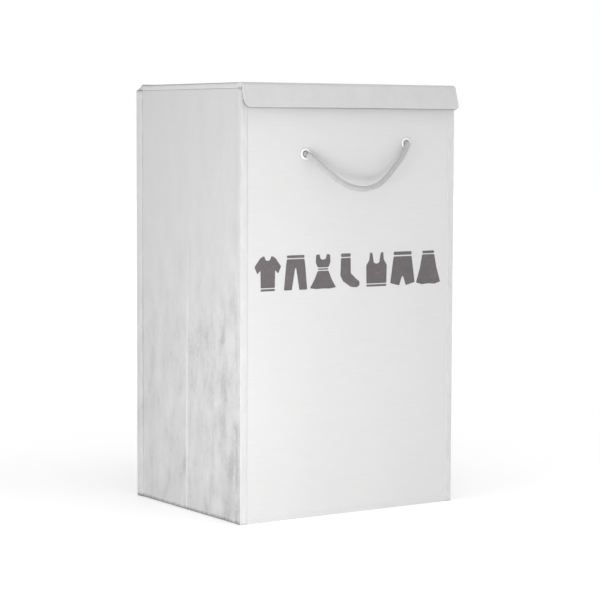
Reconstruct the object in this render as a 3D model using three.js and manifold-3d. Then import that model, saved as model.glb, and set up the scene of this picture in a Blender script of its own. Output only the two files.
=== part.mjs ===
// Foldable laundry hamper with a hinged lid.
// A tall rectangular box of cardboard panels in cloth covers. Each side panel is split down its middle,
// so the hamper folds flat. The lid hangs on a cloth hinge at the back and has a flap at its front.
// A rope handle hangs from two eyelets on the front, and another on the back.
// Millimetres, +Z up, the front faces -Y, and the origin is the centre of the base on the floor.
import * as THREE from 'three';
import { mergeVertices } from 'three/addons/utils/BufferGeometryUtils.js';
import Module from 'manifold-3d';

// Body
const WIDTH = 360;
const DEPTH = 285;
const WALL_HEIGHT = 594;
const WALL_THICKNESS = 4.8;
const CLOTH = 0.8;
const GAP = 0.3;

// Lid and the flap at its front
const TOP = 600;
const LID_WIDTH = 357;
const LID_SETBACK = 12;
const LID_THICKNESS = TOP - WALL_HEIGHT - GAP;
const LID_CORNER = 4;
const FLAP_HEIGHT = 27.5;
const FLAP_THICKNESS = 4.2;
const FLAP_CORNER = 8;
const FLAP_FLARE = THREE.MathUtils.degToRad(11);
const CREASE_RADIUS = 5;
const CREASE = { y: -DEPTH / 2 - 0.9, z: TOP - CREASE_RADIUS };

// Cloth tape: on the corners, and where the lid hinge is sewn to the back
const TAPE = 0.6;
const CORNER_TAPE_WIDTH = 10;
const HINGE_SEAM_HEIGHT = 28;
const HINGE_WIDTH = 336;

// Floor
const MAT_THICKNESS = 3.2;
const MAT_INSET = 1.5;

// Rope handle: the places of its two eyelets, seen from outside the wall
const EYELETS = [
  { side: 'left', x: -76, z: 505.5 },
  { side: 'right', x: 95.5, z: 520 },
];
const ROPE_RADIUS = 4;
const ROPE_STANDOFF = 5.6;
const ROPE_TILT = THREE.MathUtils.degToRad(18);
const ROPE_SIDES = 10;
const ROPE_STEPS = 24;
const BARREL_INNER = 4.4;
const BARREL_OUTER = 5.1;
const FLANGE_RADIUS = 7.7;
const WASHER_RADIUS = 8;
const WASHER_THICKNESS = 0.8;
const HOLE_RADIUS = BARREL_OUTER + GAP;
const KNOT_RADIUS = 11;
const ROUND_SEGMENTS = 28;

// The rope's route between its eyelets: [along the line that joins them, away from that line]
const ROPE_ROUTE = [
  [0, 0], [8.5, 9], [17.5, 18.5], [26, 28.5], [35, 37.5], [44.5, 45.5], [55, 52], [66, 56], [77, 58],
  [88, 58], [99, 56], [109.5, 52], [120, 46], [130.5, 38.5], [141, 30.5], [151.5, 22], [162, 12],
  [172.1, 0],
];

const wasm = await Module();
wasm.setup();

const COLOURS = {
  velvet: { color: 0xd5d4d3, roughness: 0.9, metalness: 0 },
  canvas: { color: 0xe6e5e3, roughness: 0.85, metalness: 0 },
  tape: { color: 0xeceae8, roughness: 0.85, metalness: 0 },
  lining: { color: 0xf0efec, roughness: 0.9, metalness: 0 },
  cardboard: { color: 0xb49a74, roughness: 0.95, metalness: 0 },
  felt: { color: 0xbdbbb8, roughness: 1, metalness: 0 },
  steel: { color: 0xe4e6e8, roughness: 0.25, metalness: 1 },
  rope: { color: 0xcfcdca, roughness: 0.9, metalness: 0 },
};

const hamper = new THREE.Group();

function addPiece(parent, name, material, geometry) {
  const mesh = new THREE.Mesh(geometry, new THREE.MeshStandardMaterial(COLOURS[material]));
  mesh.name = name;
  parent.add(mesh);
}

// A group whose pieces are drawn as on the front wall: outwards is -Y, and y = 0 is the inner face.
function addFrame(rotation, position) {
  const frame = new THREE.Group();
  frame.rotation.set(...rotation);
  frame.position.set(...position);
  hamper.add(frame);
  return frame;
}

// Solids: joins and cuts

function toSolid(geometry) {
  const bare = geometry.clone();
  bare.deleteAttribute('normal');
  bare.deleteAttribute('uv');
  const merged = mergeVertices(bare);
  return new wasm.Manifold(new wasm.Mesh({
    numProp: 3,
    vertProperties: new Float32Array(merged.attributes.position.array),
    triVerts: new Uint32Array(merged.index.array),
  }));
}

function toGeometry(solid) {
  const mesh = solid.getMesh();
  const geometry = new THREE.BufferGeometry();
  geometry.setAttribute('position', new THREE.BufferAttribute(mesh.vertProperties, 3));
  geometry.setIndex(new THREE.BufferAttribute(mesh.triVerts, 1));
  geometry.computeVertexNormals();
  return geometry;
}

function cut(geometry, tools) {
  return toGeometry(tools.reduce((solid, tool) => solid.subtract(toSolid(tool)), toSolid(geometry)));
}

function join(geometries) {
  return toGeometry(geometries.map(toSolid).reduce((joined, solid) => joined.add(solid)));
}

// Basic forms

// A box given by its lowest and highest corner.
function block(low, high) {
  const [x, y, z] = [0, 1, 2].map((i) => high[i] - low[i]);
  const middle = [0, 1, 2].map((i) => (high[i] + low[i]) / 2);
  return new THREE.BoxGeometry(x, y, z).translate(...middle);
}

// An upright rectangle with its lower or all corners rounded, and its edge moved in by inset.
function outline({ x0, x1, z0, z1, lowerCorner = 0, upperCorner = 0 }, inset) {
  const [left, right, bottom, top] = [x0 + inset, x1 - inset, z0 + inset, z1 - inset];
  const lower = Math.max(lowerCorner - inset, 0);
  const upper = Math.max(upperCorner - inset, 0);
  const shape = new THREE.Shape();
  shape.moveTo(left + lower, bottom);
  shape.lineTo(right - lower, bottom);
  if (lower > 0) shape.absarc(right - lower, bottom + lower, lower, -Math.PI / 2, 0);
  shape.lineTo(right, top - upper);
  if (upper > 0) shape.absarc(right - upper, top - upper, upper, 0, Math.PI / 2);
  shape.lineTo(left + upper, top);
  if (upper > 0) shape.absarc(left + upper, top - upper, upper, Math.PI / 2, Math.PI);
  shape.lineTo(left, bottom + lower);
  if (lower > 0) shape.absarc(left + lower, bottom + lower, lower, Math.PI, Math.PI * 1.5);
  return shape;
}

// An upright outline made solid from the depth `from` outwards to the depth `to`.
function slab(shape, from, to) {
  const settings = { depth: to - from, bevelEnabled: false, curveSegments: 6 };
  return new THREE.ExtrudeGeometry(shape, settings).rotateX(Math.PI / 2).translate(0, -from, 0);
}

// A section in the YZ plane made solid along X, centred.
function strip(points, width) {
  const shape = new THREE.Shape(points.map(([y, z]) => new THREE.Vector2(y, z)));
  const geometry = new THREE.ExtrudeGeometry(shape, { depth: width, bevelEnabled: false });
  const turn = new THREE.Matrix4().makeBasis(
    new THREE.Vector3(0, 1, 0),
    new THREE.Vector3(0, 0, 1),
    new THREE.Vector3(1, 0, 0),
  );
  return geometry.translate(0, 0, -width / 2).applyMatrix4(turn);
}

// A ring or a turned piece about the Y axis.
function turned(profile) {
  const points = profile.map(([radius, y]) => new THREE.Vector2(radius, y));
  return new THREE.LatheGeometry(points, ROUND_SEGMENTS);
}

// Panels: a cover with turned edges, a board inside it, and a lining that closes it

function addPanel(frame, name, coverMaterial, edge, thickness, holes = []) {
  const skin = thickness - CLOTH;
  const drills = holes.map(({ x, z }) => (
    new THREE.CylinderGeometry(HOLE_RADIUS, HOLE_RADIUS, 4 * thickness, ROUND_SEGMENTS).translate(x, 0, z)
  ));
  const shell = slab(outline(edge, 0), 0, thickness);
  const pocket = slab(outline(edge, CLOTH), -thickness, skin);
  const board = slab(outline(edge, CLOTH + GAP), CLOTH + GAP, skin - GAP);
  const lining = slab(outline(edge, CLOTH + GAP), 0, CLOTH);
  addPiece(frame, `${name}_cover`, coverMaterial, cut(shell, [pocket, ...drills]));
  addPiece(frame, `${name}_board`, 'cardboard', cut(board, drills));
  addPiece(frame, `${name}_lining`, 'lining', cut(lining, drills));
}

// Eyelets, washers and knots sit in a wall's two holes.

function eyeletProfile() {
  const outside = -WALL_THICKNESS;
  return [
    [BARREL_INNER, outside - 1.2],
    [BARREL_INNER + 0.6, outside - 1.5],
    [FLANGE_RADIUS - 0.7, outside - 1.5],
    [FLANGE_RADIUS, outside - 1],
    [FLANGE_RADIUS, outside - GAP],
    [BARREL_OUTER, outside - GAP],
    [BARREL_OUTER, 1.4],
    [6.4, 1.4],
    [6.6, 1.9],
    [6, 2.4],
    [4.9, 2.4],
    [BARREL_INNER, 2],
    [BARREL_INNER, outside - 1.2],
  ];
}

function washerProfile() {
  return [
    [HOLE_RADIUS, GAP],
    [WASHER_RADIUS, GAP],
    [WASHER_RADIUS, GAP + WASHER_THICKNESS],
    [HOLE_RADIUS, GAP + WASHER_THICKNESS],
    [HOLE_RADIUS, GAP],
  ];
}

// The end of the rope inside the wall: through the eyelet, into a round knot, with a short tail.
function knotProfile() {
  const mouth = -WALL_THICKNESS - ROPE_STANDOFF + ROPE_RADIUS + GAP;
  const stub = BARREL_INNER - 0.5;
  return [
    [0, mouth],
    [stub, mouth],
    [stub, 2.7],
    [7, 2.9],
    [9.8, 5.2],
    [KNOT_RADIUS, 10],
    [10.6, 14.6],
    [8.4, 18.6],
    [5.2, 20.4],
    [4.2, 20.6],
    [4.2, 25],
    [3.4, 25.6],
    [0, 25.6],
  ];
}

function addRopeFittings(frame, wall) {
  for (const { side, x, z } of EYELETS) {
    addPiece(frame, `${wall}_${side}_eyelet`, 'steel', turned(eyeletProfile()).translate(x, 0, z));
    addPiece(frame, `${wall}_${side}_washer`, 'steel', turned(washerProfile()).translate(x, 0, z));
    addPiece(frame, `${wall}_${side}_knot`, 'rope', turned(knotProfile()).translate(x, 0, z));
  }
}

// The rope lies in a plane through both eyelet mouths, which leans away from the wall.
function ropeLoop() {
  const y = -WALL_THICKNESS - ROPE_STANDOFF;
  const [start, end] = EYELETS.map((eyelet) => new THREE.Vector3(eyelet.x, y, eyelet.z));
  const along = end.clone().sub(start).normalize();
  const outwards = new THREE.Vector3(0, -1, 0);
  const down = new THREE.Vector3().crossVectors(outwards, along).normalize();
  down.multiplyScalar(-Math.sign(down.z));
  const away = down.multiplyScalar(Math.cos(ROPE_TILT)).addScaledVector(outwards, Math.sin(ROPE_TILT));
  const points = ROPE_ROUTE.map(([u, v]) => start.clone().addScaledVector(along, u).addScaledVector(away, v));
  const section = new THREE.Shape();
  section.absarc(0, 0, ROPE_RADIUS, 0, 2 * Math.PI);
  const tube = new THREE.ExtrudeGeometry(section, {
    steps: ROPE_STEPS,
    curveSegments: ROPE_SIDES,
    extrudePath: new THREE.CatmullRomCurve3(points),
  });
  const ends = [points[0], points[points.length - 1]].map((point) => (
    new THREE.SphereGeometry(ROPE_RADIUS, 16, 10).translate(point.x, point.y, point.z)
  ));
  return join([tube, ...ends]);
}

// Tape over the upright edge of a wall: on its face, and round its end.
function cornerTape(side) {
  const end = WIDTH / 2;
  const face = -WALL_THICKNESS;
  const section = new THREE.Shape([
    [end - CORNER_TAPE_WIDTH, face - GAP],
    [end + GAP, face - GAP],
    [end + GAP, 0],
    [end + GAP + TAPE, 0],
    [end + GAP + TAPE, face - GAP - TAPE],
    [end - CORNER_TAPE_WIDTH, face - GAP - TAPE],
  ].map(([x, y]) => new THREE.Vector2(side * x, y)));
  const depth = WALL_HEIGHT - 2 * GAP;
  return new THREE.ExtrudeGeometry(section, { depth, bevelEnabled: false }).translate(0, 0, GAP);
}

// Walls

const wallEdge = { x0: -WIDTH / 2, x1: WIDTH / 2, z0: 0, z1: WALL_HEIGHT };
const halfDepth = DEPTH / 2 - WALL_THICKNESS;

function addEndWall(name, turn, cover) {
  const frame = addFrame([0, 0, turn], [0, -Math.cos(turn) * halfDepth, 0]);
  addPanel(frame, name, cover, wallEdge, WALL_THICKNESS, EYELETS);
  addRopeFittings(frame, name);
  addPiece(frame, `${name}_rope`, 'rope', ropeLoop());
  addPiece(frame, `${name}_left_tape`, 'tape', cornerTape(-1));
  addPiece(frame, `${name}_right_tape`, 'tape', cornerTape(1));
}

function addSideWall(name, side) {
  const frame = addFrame([0, 0, side * Math.PI / 2], [side * (WIDTH / 2 - WALL_THICKNESS), 0, 0]);
  const [inner, outer] = [GAP / 2, halfDepth - GAP];
  for (const [half, direction] of [['front', -side], ['rear', side]]) {
    const ends = [direction * inner, direction * outer].sort((a, b) => a - b);
    const edge = { x0: ends[0], x1: ends[1], z0: 0, z1: WALL_HEIGHT };
    addPanel(frame, `${name}_${half}`, 'velvet', edge, WALL_THICKNESS);
  }
  const seam = [side * (outer - CORNER_TAPE_WIDTH), side * outer].sort((a, b) => a - b);
  const face = -WALL_THICKNESS - GAP;
  const low = [seam[0], face - TAPE, GAP];
  const high = [seam[1], face, WALL_HEIGHT - GAP];
  addPiece(frame, `${name}_rear_seam`, 'velvet', block(low, high));
}

addEndWall('front', 0, 'canvas');
addEndWall('back', Math.PI, 'velvet');
addSideWall('left', -1);
addSideWall('right', 1);

// Floor: a cloth sewn to the walls' lower edges, and a soft mat on it

const insideX = WIDTH / 2 - WALL_THICKNESS - GAP;
const insideY = halfDepth - GAP;
addPiece(hamper, 'floor_cloth', 'velvet', block([-insideX, -insideY, 0], [insideX, insideY, CLOTH]));
const matX = insideX - MAT_INSET;
const matY = insideY - MAT_INSET;
const matBase = CLOTH + GAP;
addPiece(hamper, 'floor_mat', 'felt', block([-matX, -matY, matBase], [matX, matY, matBase + MAT_THICKNESS]));

// Lid: drawn upright, then laid on the walls with its outer face up

const lidFrame = addFrame([-Math.PI / 2, 0, 0], [0, 0, WALL_HEIGHT + GAP]);
const lidEdge = {
  x0: -LID_WIDTH / 2,
  x1: LID_WIDTH / 2,
  z0: -DEPTH / 2,
  z1: DEPTH / 2 - LID_SETBACK,
  upperCorner: LID_CORNER,
};
addPanel(lidFrame, 'lid', 'velvet', lidEdge, LID_THICKNESS);

// Lid hinge: cloth from the lid's back edge over the back wall's top edge and down its outer face
function hingeSection() {
  const lidBack = DEPTH / 2 - LID_SETBACK + GAP;
  const wallFace = DEPTH / 2;
  const seamBottom = WALL_HEIGHT - HINGE_SEAM_HEIGHT;
  return [
    [lidBack, WALL_HEIGHT + 2.9],
    [wallFace - 0.2, WALL_HEIGHT + 0.5],
    [wallFace + 0.4, WALL_HEIGHT - 0.1],
    [wallFace + 0.4, seamBottom],
    [wallFace + 1.1, seamBottom],
    [wallFace + 1.1, WALL_HEIGHT + 0.2],
    [wallFace + 0.1, WALL_HEIGHT + 1.2],
    [lidBack, WALL_HEIGHT + 3.6],
  ];
}
addPiece(hamper, 'lid_hinge_cloth', 'velvet', strip(hingeSection(), HINGE_WIDTH));

// Flap: hangs from the lid's front edge, leaning outwards, with rounded lower corners
const flapFrame = addFrame([-FLAP_FLARE, 0, 0], [0, CREASE.y, CREASE.z]);
const flapEdge = {
  x0: -LID_WIDTH / 2,
  x1: LID_WIDTH / 2,
  z0: -FLAP_HEIGHT,
  z1: -GAP,
  lowerCorner: FLAP_CORNER,
};
const flapPanel = new THREE.Group();
flapPanel.position.y = -(CREASE_RADIUS - FLAP_THICKNESS);
flapFrame.add(flapPanel);
addPanel(flapPanel, 'flap', 'velvet', flapEdge, FLAP_THICKNESS);

// The crease between lid and flap: cloth that bends from level to the flap's lean
function creaseSection() {
  const bends = 6;
  const arc = (radius, order) => order.map((step) => {
    const angle = Math.PI / 2 + (step / bends) * (Math.PI / 2 - FLAP_FLARE);
    return [CREASE.y + radius * Math.cos(angle), CREASE.z + radius * Math.sin(angle)];
  });
  const steps = Array.from({ length: bends + 1 }, (_, step) => step);
  const lidFront = -DEPTH / 2 - GAP;
  return [
    [lidFront, CREASE.z + CREASE_RADIUS],
    ...arc(CREASE_RADIUS, steps),
    ...arc(CREASE_RADIUS - CLOTH, steps.reverse()),
    [lidFront, CREASE.z + CREASE_RADIUS - CLOTH],
  ];
}
addPiece(hamper, 'flap_crease_cloth', 'velvet', strip(creaseSection(), LID_WIDTH - 2 * CLOTH));

export default hamper;
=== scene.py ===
"""Looks of the foldable laundry hamper. Metres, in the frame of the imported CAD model."""

import math

import bmesh
import bpy
import numpy as np
from mathutils import Matrix, Vector


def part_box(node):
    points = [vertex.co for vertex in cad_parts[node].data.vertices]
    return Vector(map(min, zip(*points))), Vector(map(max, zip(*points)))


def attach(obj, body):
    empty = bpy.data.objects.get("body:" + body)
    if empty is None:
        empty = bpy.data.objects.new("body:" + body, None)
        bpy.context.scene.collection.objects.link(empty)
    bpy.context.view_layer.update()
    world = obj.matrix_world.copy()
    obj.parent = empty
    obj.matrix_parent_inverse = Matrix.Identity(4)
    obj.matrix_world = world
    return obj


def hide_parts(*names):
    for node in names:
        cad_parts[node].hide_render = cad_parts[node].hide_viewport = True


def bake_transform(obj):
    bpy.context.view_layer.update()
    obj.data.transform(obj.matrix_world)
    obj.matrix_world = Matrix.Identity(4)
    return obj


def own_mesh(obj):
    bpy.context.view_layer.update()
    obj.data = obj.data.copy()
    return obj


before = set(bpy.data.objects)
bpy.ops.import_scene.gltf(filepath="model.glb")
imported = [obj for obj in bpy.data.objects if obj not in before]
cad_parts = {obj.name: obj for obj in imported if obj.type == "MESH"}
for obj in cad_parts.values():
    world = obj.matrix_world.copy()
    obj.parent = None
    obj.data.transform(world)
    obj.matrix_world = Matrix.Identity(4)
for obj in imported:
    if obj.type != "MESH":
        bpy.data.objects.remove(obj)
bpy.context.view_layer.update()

MM = 0.001
SCENE = bpy.context.scene

# Body sizes, read from the frame. The visual lid is a little higher and wider than its CAD cloth.

FRONT_LOW, FRONT_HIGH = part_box("front_cover")
LID_LOW, LID_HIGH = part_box("lid_cover")
HALF_WIDTH = FRONT_HIGH.x
HALF_DEPTH = -FRONT_LOW.y
WALL = FRONT_HIGH.y - FRONT_LOW.y
WALL_TOP = FRONT_HIGH.z
INNER_X = HALF_WIDTH - WALL
INNER_Y = HALF_DEPTH - WALL
LID_TOP = LID_HIGH.z + 1.6 * MM
LID_REST = WALL_TOP + 0.15 * MM
LID_BACK = LID_HIGH.y
LID_HALF = LID_HIGH.x + 1.7 * MM
GAP = 0.3 * MM
SIDE_END = INNER_Y - 1.6 * GAP

# Cloth: its grid, its thicknesses, how far a cover may sink to its board, and what it has to spare at its edges

GRID = 3 * MM
CLOTH = 0.7 * MM
WALL_LINING = 0.5 * MM
LID_LINING = 0.4 * MM
LINING_INSET = 3 * MM
BOARD_CLEARANCE = -0.36 * MM
EYELET_HOLE = 5.4 * MM

# Corner tape and other strips

TAPE_WIDTH = 10 * MM
TAPE_THICKNESS = 0.6 * MM
TAPE_OUT = 0.9 * MM
TAPE_TURN = 1.6 * MM
STRIP_SPAN = (GAP, WALL_TOP - GAP)

# Flap, and the fold that it hangs from

FLAP_LEAN = math.radians(11)
FLAP_HEIGHT = 29 * MM
FLAP_THICKNESS = 4.2 * MM
FLAP_OUT = 0.8 * MM
FLAP_OVERLAP = 9 * MM
FOLD_RADIUS = FLAP_OUT + FLAP_THICKNESS
FOLD_AXIS = (-(HALF_DEPTH + 0.9 * MM), LID_TOP - FOLD_RADIUS)
FOLD_TURN = math.pi / 2 - FLAP_LEAN
FOLD_LENGTH = FOLD_RADIUS * FOLD_TURN
FOLD_REACH = LID_HALF - 2 * MM

# Camera

CAMERA_PLACE = (-1.6835, -2.5428, 0.5381)
CAMERA_TURN = math.radians(33.68)
CAMERA_PITCH = math.radians(-4.63)
CAMERA_ROLL = math.radians(0.21)
CAMERA_LENS = 126

# Rope handle, as in the CAD source: its route between its eyelets, in the plane that it hangs in

ROPE_ROUTE = [
    (0, 0), (8.5, 9), (17.5, 18.5), (26, 28.5), (35, 37.5), (44.5, 45.5), (55, 52), (66, 56), (77, 58),
    (88, 58), (99, 56), (109.5, 52), (120, 46), (130.5, 38.5), (141, 30.5), (151.5, 22), (162, 12),
    (172.1, 0),
]
ROPE_RADIUS = 4 * MM
ROPE_STANDOFF = 5.6 * MM
ROPE_TILT = math.radians(18)

# Each wall's turn about Z from the front wall, and the side that each name stands for

FRONT, BACK, LEFT, RIGHT = 0.0, math.pi, -math.pi / 2, math.pi / 2
SIDES = (("left", -1), ("right", 1))

# ---------------- small maths


def wrap_noise(a, b, seed):
    """Smooth noise from -1 to 1 over a plane, with cells one unit wide."""
    size = 61
    table = np.random.default_rng(seed).uniform(-1, 1, (size, size))
    i, j = np.floor(a).astype(int), np.floor(b).astype(int)
    s, t = a - i, b - j
    s, t = s * s * (3 - 2 * s), t * t * (3 - 2 * t)

    def corner(p, q):
        return table[(i + p) % size, (j + q) % size]

    low = corner(0, 0) * (1 - s) + corner(1, 0) * s
    high = corner(0, 1) * (1 - s) + corner(1, 1) * s
    return low * (1 - t) + high * t


def layered_noise(u, v, cell, seed, layers=3):
    """Noise of several sizes, each half as large as the one before. cell is the first one's, in mm."""
    total, weight = 0, 0
    for k in range(layers):
        share = 0.5**k
        total = total + share * wrap_noise(u / (cell[0] * MM * share), v / (cell[1] * MM * share), seed + k)
        weight += share
    return total / weight


def smooth_step(value, low, high):
    """0 below low, 1 above high, and smooth between them."""
    t = np.clip((value - low) / (high - low), 0, 1)
    return t * t * (3 - 2 * t)


def bell(distance, width):
    """1 at distance 0, falling to nothing over a few widths."""
    return np.exp(-((distance / width) ** 2))


def stations(low, high, step):
    """Evenly spaced places from low to high, about step apart."""
    return np.linspace(low, high, max(2, round((high - low) / step) + 1))


def grid_points(us, vs):
    """u and v of a grid's points, row by row."""
    uu, vv = np.meshgrid(us, vs, indexing="ij")
    return uu.ravel(), vv.ravel()


def unit(vectors):
    """The vectors at length one."""
    return vectors / np.linalg.norm(vectors, axis=-1, keepdims=True)


def line_length(line):
    return float(np.linalg.norm(np.diff(line, axis=0), axis=1).sum())


def distances(line):
    """How far along a line each of its points is."""
    return np.concatenate([[0], np.cumsum(np.linalg.norm(np.diff(line, axis=0), axis=1))])


def points_at(line, at):
    """The points at those distances along a line."""
    along = distances(line)
    return np.stack([np.interp(at, along, axis) for axis in line.T], axis=1)


def through(points, step):
    """A smooth line through the points (Catmull-Rom), with places about step apart."""
    p = np.array(points, float)
    p = np.vstack([2 * p[0] - p[1], p, 2 * p[-1] - p[-2]])
    t = np.linspace(0, 1, 12, endpoint=False)[:, None]
    line = []
    for k in range(1, len(p) - 2):
        a, b, c, d = p[k - 1 : k + 3]
        cubic = (3 * b - a - 3 * c + d) * t**3
        line.append(0.5 * (2 * b + (c - a) * t + (2 * a - 5 * b + 4 * c - d) * t**2 + cubic))
    line = np.vstack(line + [p[-2:-1]])
    return points_at(line, stations(0, distances(line)[-1], step))


def rounded_corner(corner, to_before, to_after, places):
    """Points of a curve that cuts a corner, between a step back and a step on from it."""
    return [(corner + to_before * (1 - t)) * (1 - t) + (corner + to_after * t) * t for t in places]


def bend_path(points, radius, step=1.2 * MM):
    """A flat line with its corners rounded, with places about step apart."""
    points = np.array(points, float)
    line = [points[0]]
    for before, corner, after in zip(points[:-2], points[1:-1], points[2:]):
        line += rounded_corner(corner, unit(before - corner) * radius, unit(after - corner) * radius,
                               np.linspace(0, 1, 6))
    line = np.array(line + [points[-1]])
    along = distances(line)
    at = np.unique(np.concatenate([along, stations(0, along[-1], step)]))
    at = at[np.concatenate([[True], np.diff(at) > 0.15 * MM])]
    return points_at(line, at)


# ---------------- meshes


def link_object(name, mesh):
    made = bpy.data.objects.new(name, mesh)
    SCENE.collection.objects.link(made)
    return made


def make_object(name, vertices, faces, material, smooth=True):
    mesh = bpy.data.meshes.new(name)
    mesh.from_pydata([tuple(v) for v in np.asarray(vertices, float)], [], [tuple(f) for f in faces])
    mesh.validate()
    mesh.polygons.foreach_set("use_smooth", [smooth] * len(mesh.polygons))
    mesh.materials.append(material)
    return link_object(name, mesh)


def joined(name, parts, material):
    """One object of several (vertices, faces) parts."""
    vertices, faces, count = [], [], 0
    for v, f in parts:
        vertices.append(np.asarray(v, float))
        faces += [tuple(count + i for i in face) for face in f]
        count += len(v)
    return make_object(name, np.vstack(vertices), faces, material)


def thicken(made, thickness, offset=-1, even=True):
    """Gives a sheet its thickness, so that it is a closed mesh."""
    modifier = made.modifiers.new("thickness", "SOLIDIFY")
    modifier.thickness = thickness
    modifier.offset = offset
    modifier.use_even_offset = even
    final = bpy.data.meshes.new_from_object(made.evaluated_get(bpy.context.evaluated_depsgraph_get()))
    made.modifiers.clear()
    made.data = final
    return made


def grid_faces(rows, columns, closed=False):
    """Quads of a grid whose points are numbered row by row. A closed one joins its last column to its first."""
    faces = []
    for a in range(0, (rows - 1) * columns, columns):
        for j in range(columns if closed else columns - 1):
            k = (j + 1) % columns
            faces.append((a + j, a + k, a + columns + k, a + columns + j))
    return faces


def turned_over(faces):
    return [face[::-1] for face in faces]


def tube(centre, first, second, reach, turn):
    """(vertices, faces) of a closed tube: a ring of points at each place of a line, and a point at each end."""
    around = np.cos(turn)[None, :, None] * first[:, None, :] + np.sin(turn)[None, :, None] * second[:, None, :]
    rings = centre[:, None, :] + reach * around
    sides, cap = len(turn), len(centre) * len(turn)
    faces = grid_faces(len(centre), sides, closed=True)
    faces += [(cap, (j + 1) % sides, j) for j in range(sides)]
    faces += [(cap + 1, cap - sides + j, cap - sides + (j + 1) % sides) for j in range(sides)]
    return np.vstack([rings.reshape(-1, 3), centre[:1], centre[-1:]]), faces


def label(made, slot, *nodes):
    """Hides the CAD nodes that the piece stands for. Its slot is not used."""
    if nodes:
        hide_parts(*nodes)


def finish_piece(made, body, slot, *nodes):
    """The piece rides on a body."""
    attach(made, body)
    label(made, slot, *nodes)


def finish_bend(made, bodies, start, end, slot, *nodes):
    """Bakes the piece's place into its mesh and hides the CAD nodes it stands for. The two bodies are not used."""
    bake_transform(made)
    label(made, slot, *nodes)


# ---------------- materials


class Nodes:
    """A material's node tree, with short calls to add and join nodes."""

    def __init__(self, name):
        self.material = bpy.data.materials.new(name)
        self.material.use_nodes = True
        self.tree = self.material.node_tree
        self.shader = self.tree.nodes["Principled BSDF"]
        self.place = self.tree.nodes.new("ShaderNodeTexCoord").outputs["Object"]

    def put(self, value, socket):
        """Joins a node's output to a socket, or sets the socket to a value."""
        if isinstance(value, bpy.types.NodeSocket):
            self.tree.links.new(value, socket)
        else:
            socket.default_value = value

    def add(self, kind, inputs, **settings):
        made = self.tree.nodes.new(kind)
        for key, value in settings.items():
            setattr(made, key, value)
        for key, value in inputs.items():
            self.put(value, made.inputs[key])
        return made

    def noise(self, scale, detail=3, roughness=0.55, distortion=0.0):
        """Noise with that many cells to a metre along X, Y and Z."""
        scale = scale if isinstance(scale, tuple) else (scale,) * 3
        place = self.add("ShaderNodeMapping", {"Vector": self.place, "Scale": scale}).outputs["Vector"]
        inputs = {"Vector": place, "Scale": 1, "Detail": detail, "Roughness": roughness, "Distortion": distortion}
        return self.add("ShaderNodeTexNoise", inputs).outputs["Fac"]

    def wave(self, axis, scale, distortion):
        inputs = {"Vector": self.place, "Scale": scale, "Distortion": distortion, "Detail": 2, "Detail Scale": 1.5}
        return self.add("ShaderNodeTexWave", inputs, bands_direction=axis).outputs["Fac"]

    def maths(self, operation, a, b=0.0):
        return self.add("ShaderNodeMath", {0: a, 1: b}, operation=operation).outputs[0]

    def plus(self, a, b):
        return self.maths("ADD", a, b)

    def minus(self, a, b):
        return self.maths("SUBTRACT", a, b)

    def times(self, a, b):
        return self.maths("MULTIPLY", a, b)

    def map_range(self, value, source, target):
        inputs = {"Value": value, "From Min": source[0], "From Max": source[1],
                  "To Min": target[0], "To Max": target[1]}
        return self.add("ShaderNodeMapRange", inputs).outputs[0]

    def ramp(self, value, *stops):
        made = self.add("ShaderNodeValToRGB", {"Fac": value})
        elements = made.color_ramp.elements
        while len(elements) < len(stops):
            elements.new(0.5)
        for element, (position, colour) in zip(elements, stops):
            element.position = position
            element.color = (*colour, 1)
        return made.outputs["Color"]

    def shade(self, value, low, high):
        """A colour that goes from low to high with the middle part of a noise."""
        return self.ramp(value, (0.3, low), (0.7, high))

    def mix(self, factor, a, b):
        made = self.add("ShaderNodeMix", {}, data_type="RGBA", blend_type="MIX")
        for value, socket in ((factor, 0), (a, 6), (b, 7)):
            self.put(value, made.inputs[socket])
        return made.outputs[2]

    def bump(self, height, strength, distance, below=None):
        inputs = {"Height": height, "Strength": strength, "Distance": distance}
        if below is not None:
            inputs["Normal"] = below
        return self.add("ShaderNodeBump", inputs).outputs["Normal"]

    def finish(self, **sockets):
        names = {"color": "Base Color", "sheen": "Sheen Weight", "specular": "Specular IOR Level"}
        for key, value in sockets.items():
            self.put(value, self.shader.inputs[names.get(key, key.replace("_", " ").title())])
        return self.material


def grey(value, warmth=0.0):
    """A near-neutral colour, warmer by a small share."""
    return (value * (1 + warmth), value, value * (1 - warmth))


WHOLE, MIDDLE = (0.0, 1.0), (0.3, 0.7)


def fibre_material(name, scale, low, high, roughness, bump, spread=WHOLE, detail=3, grain=0.55, distortion=0.0,
                   clouds=None, **sockets):
    """A material whose colour, roughness and relief all follow one noise of fibres.
    clouds adds paler and darker patches: (share, scale, detail, low, high)."""
    n = Nodes(name)
    fibres = n.noise(scale, detail, grain, distortion)
    colour = n.shade(fibres, low, high)
    if clouds:
        share, size, detail, dark, pale = clouds
        colour = n.mix(share, colour, n.shade(n.noise(size, detail), grey(dark), grey(pale)))
    return n.finish(color=colour, roughness=n.map_range(fibres, spread, roughness), normal=n.bump(fibres, *bump),
                    **sockets)


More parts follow.
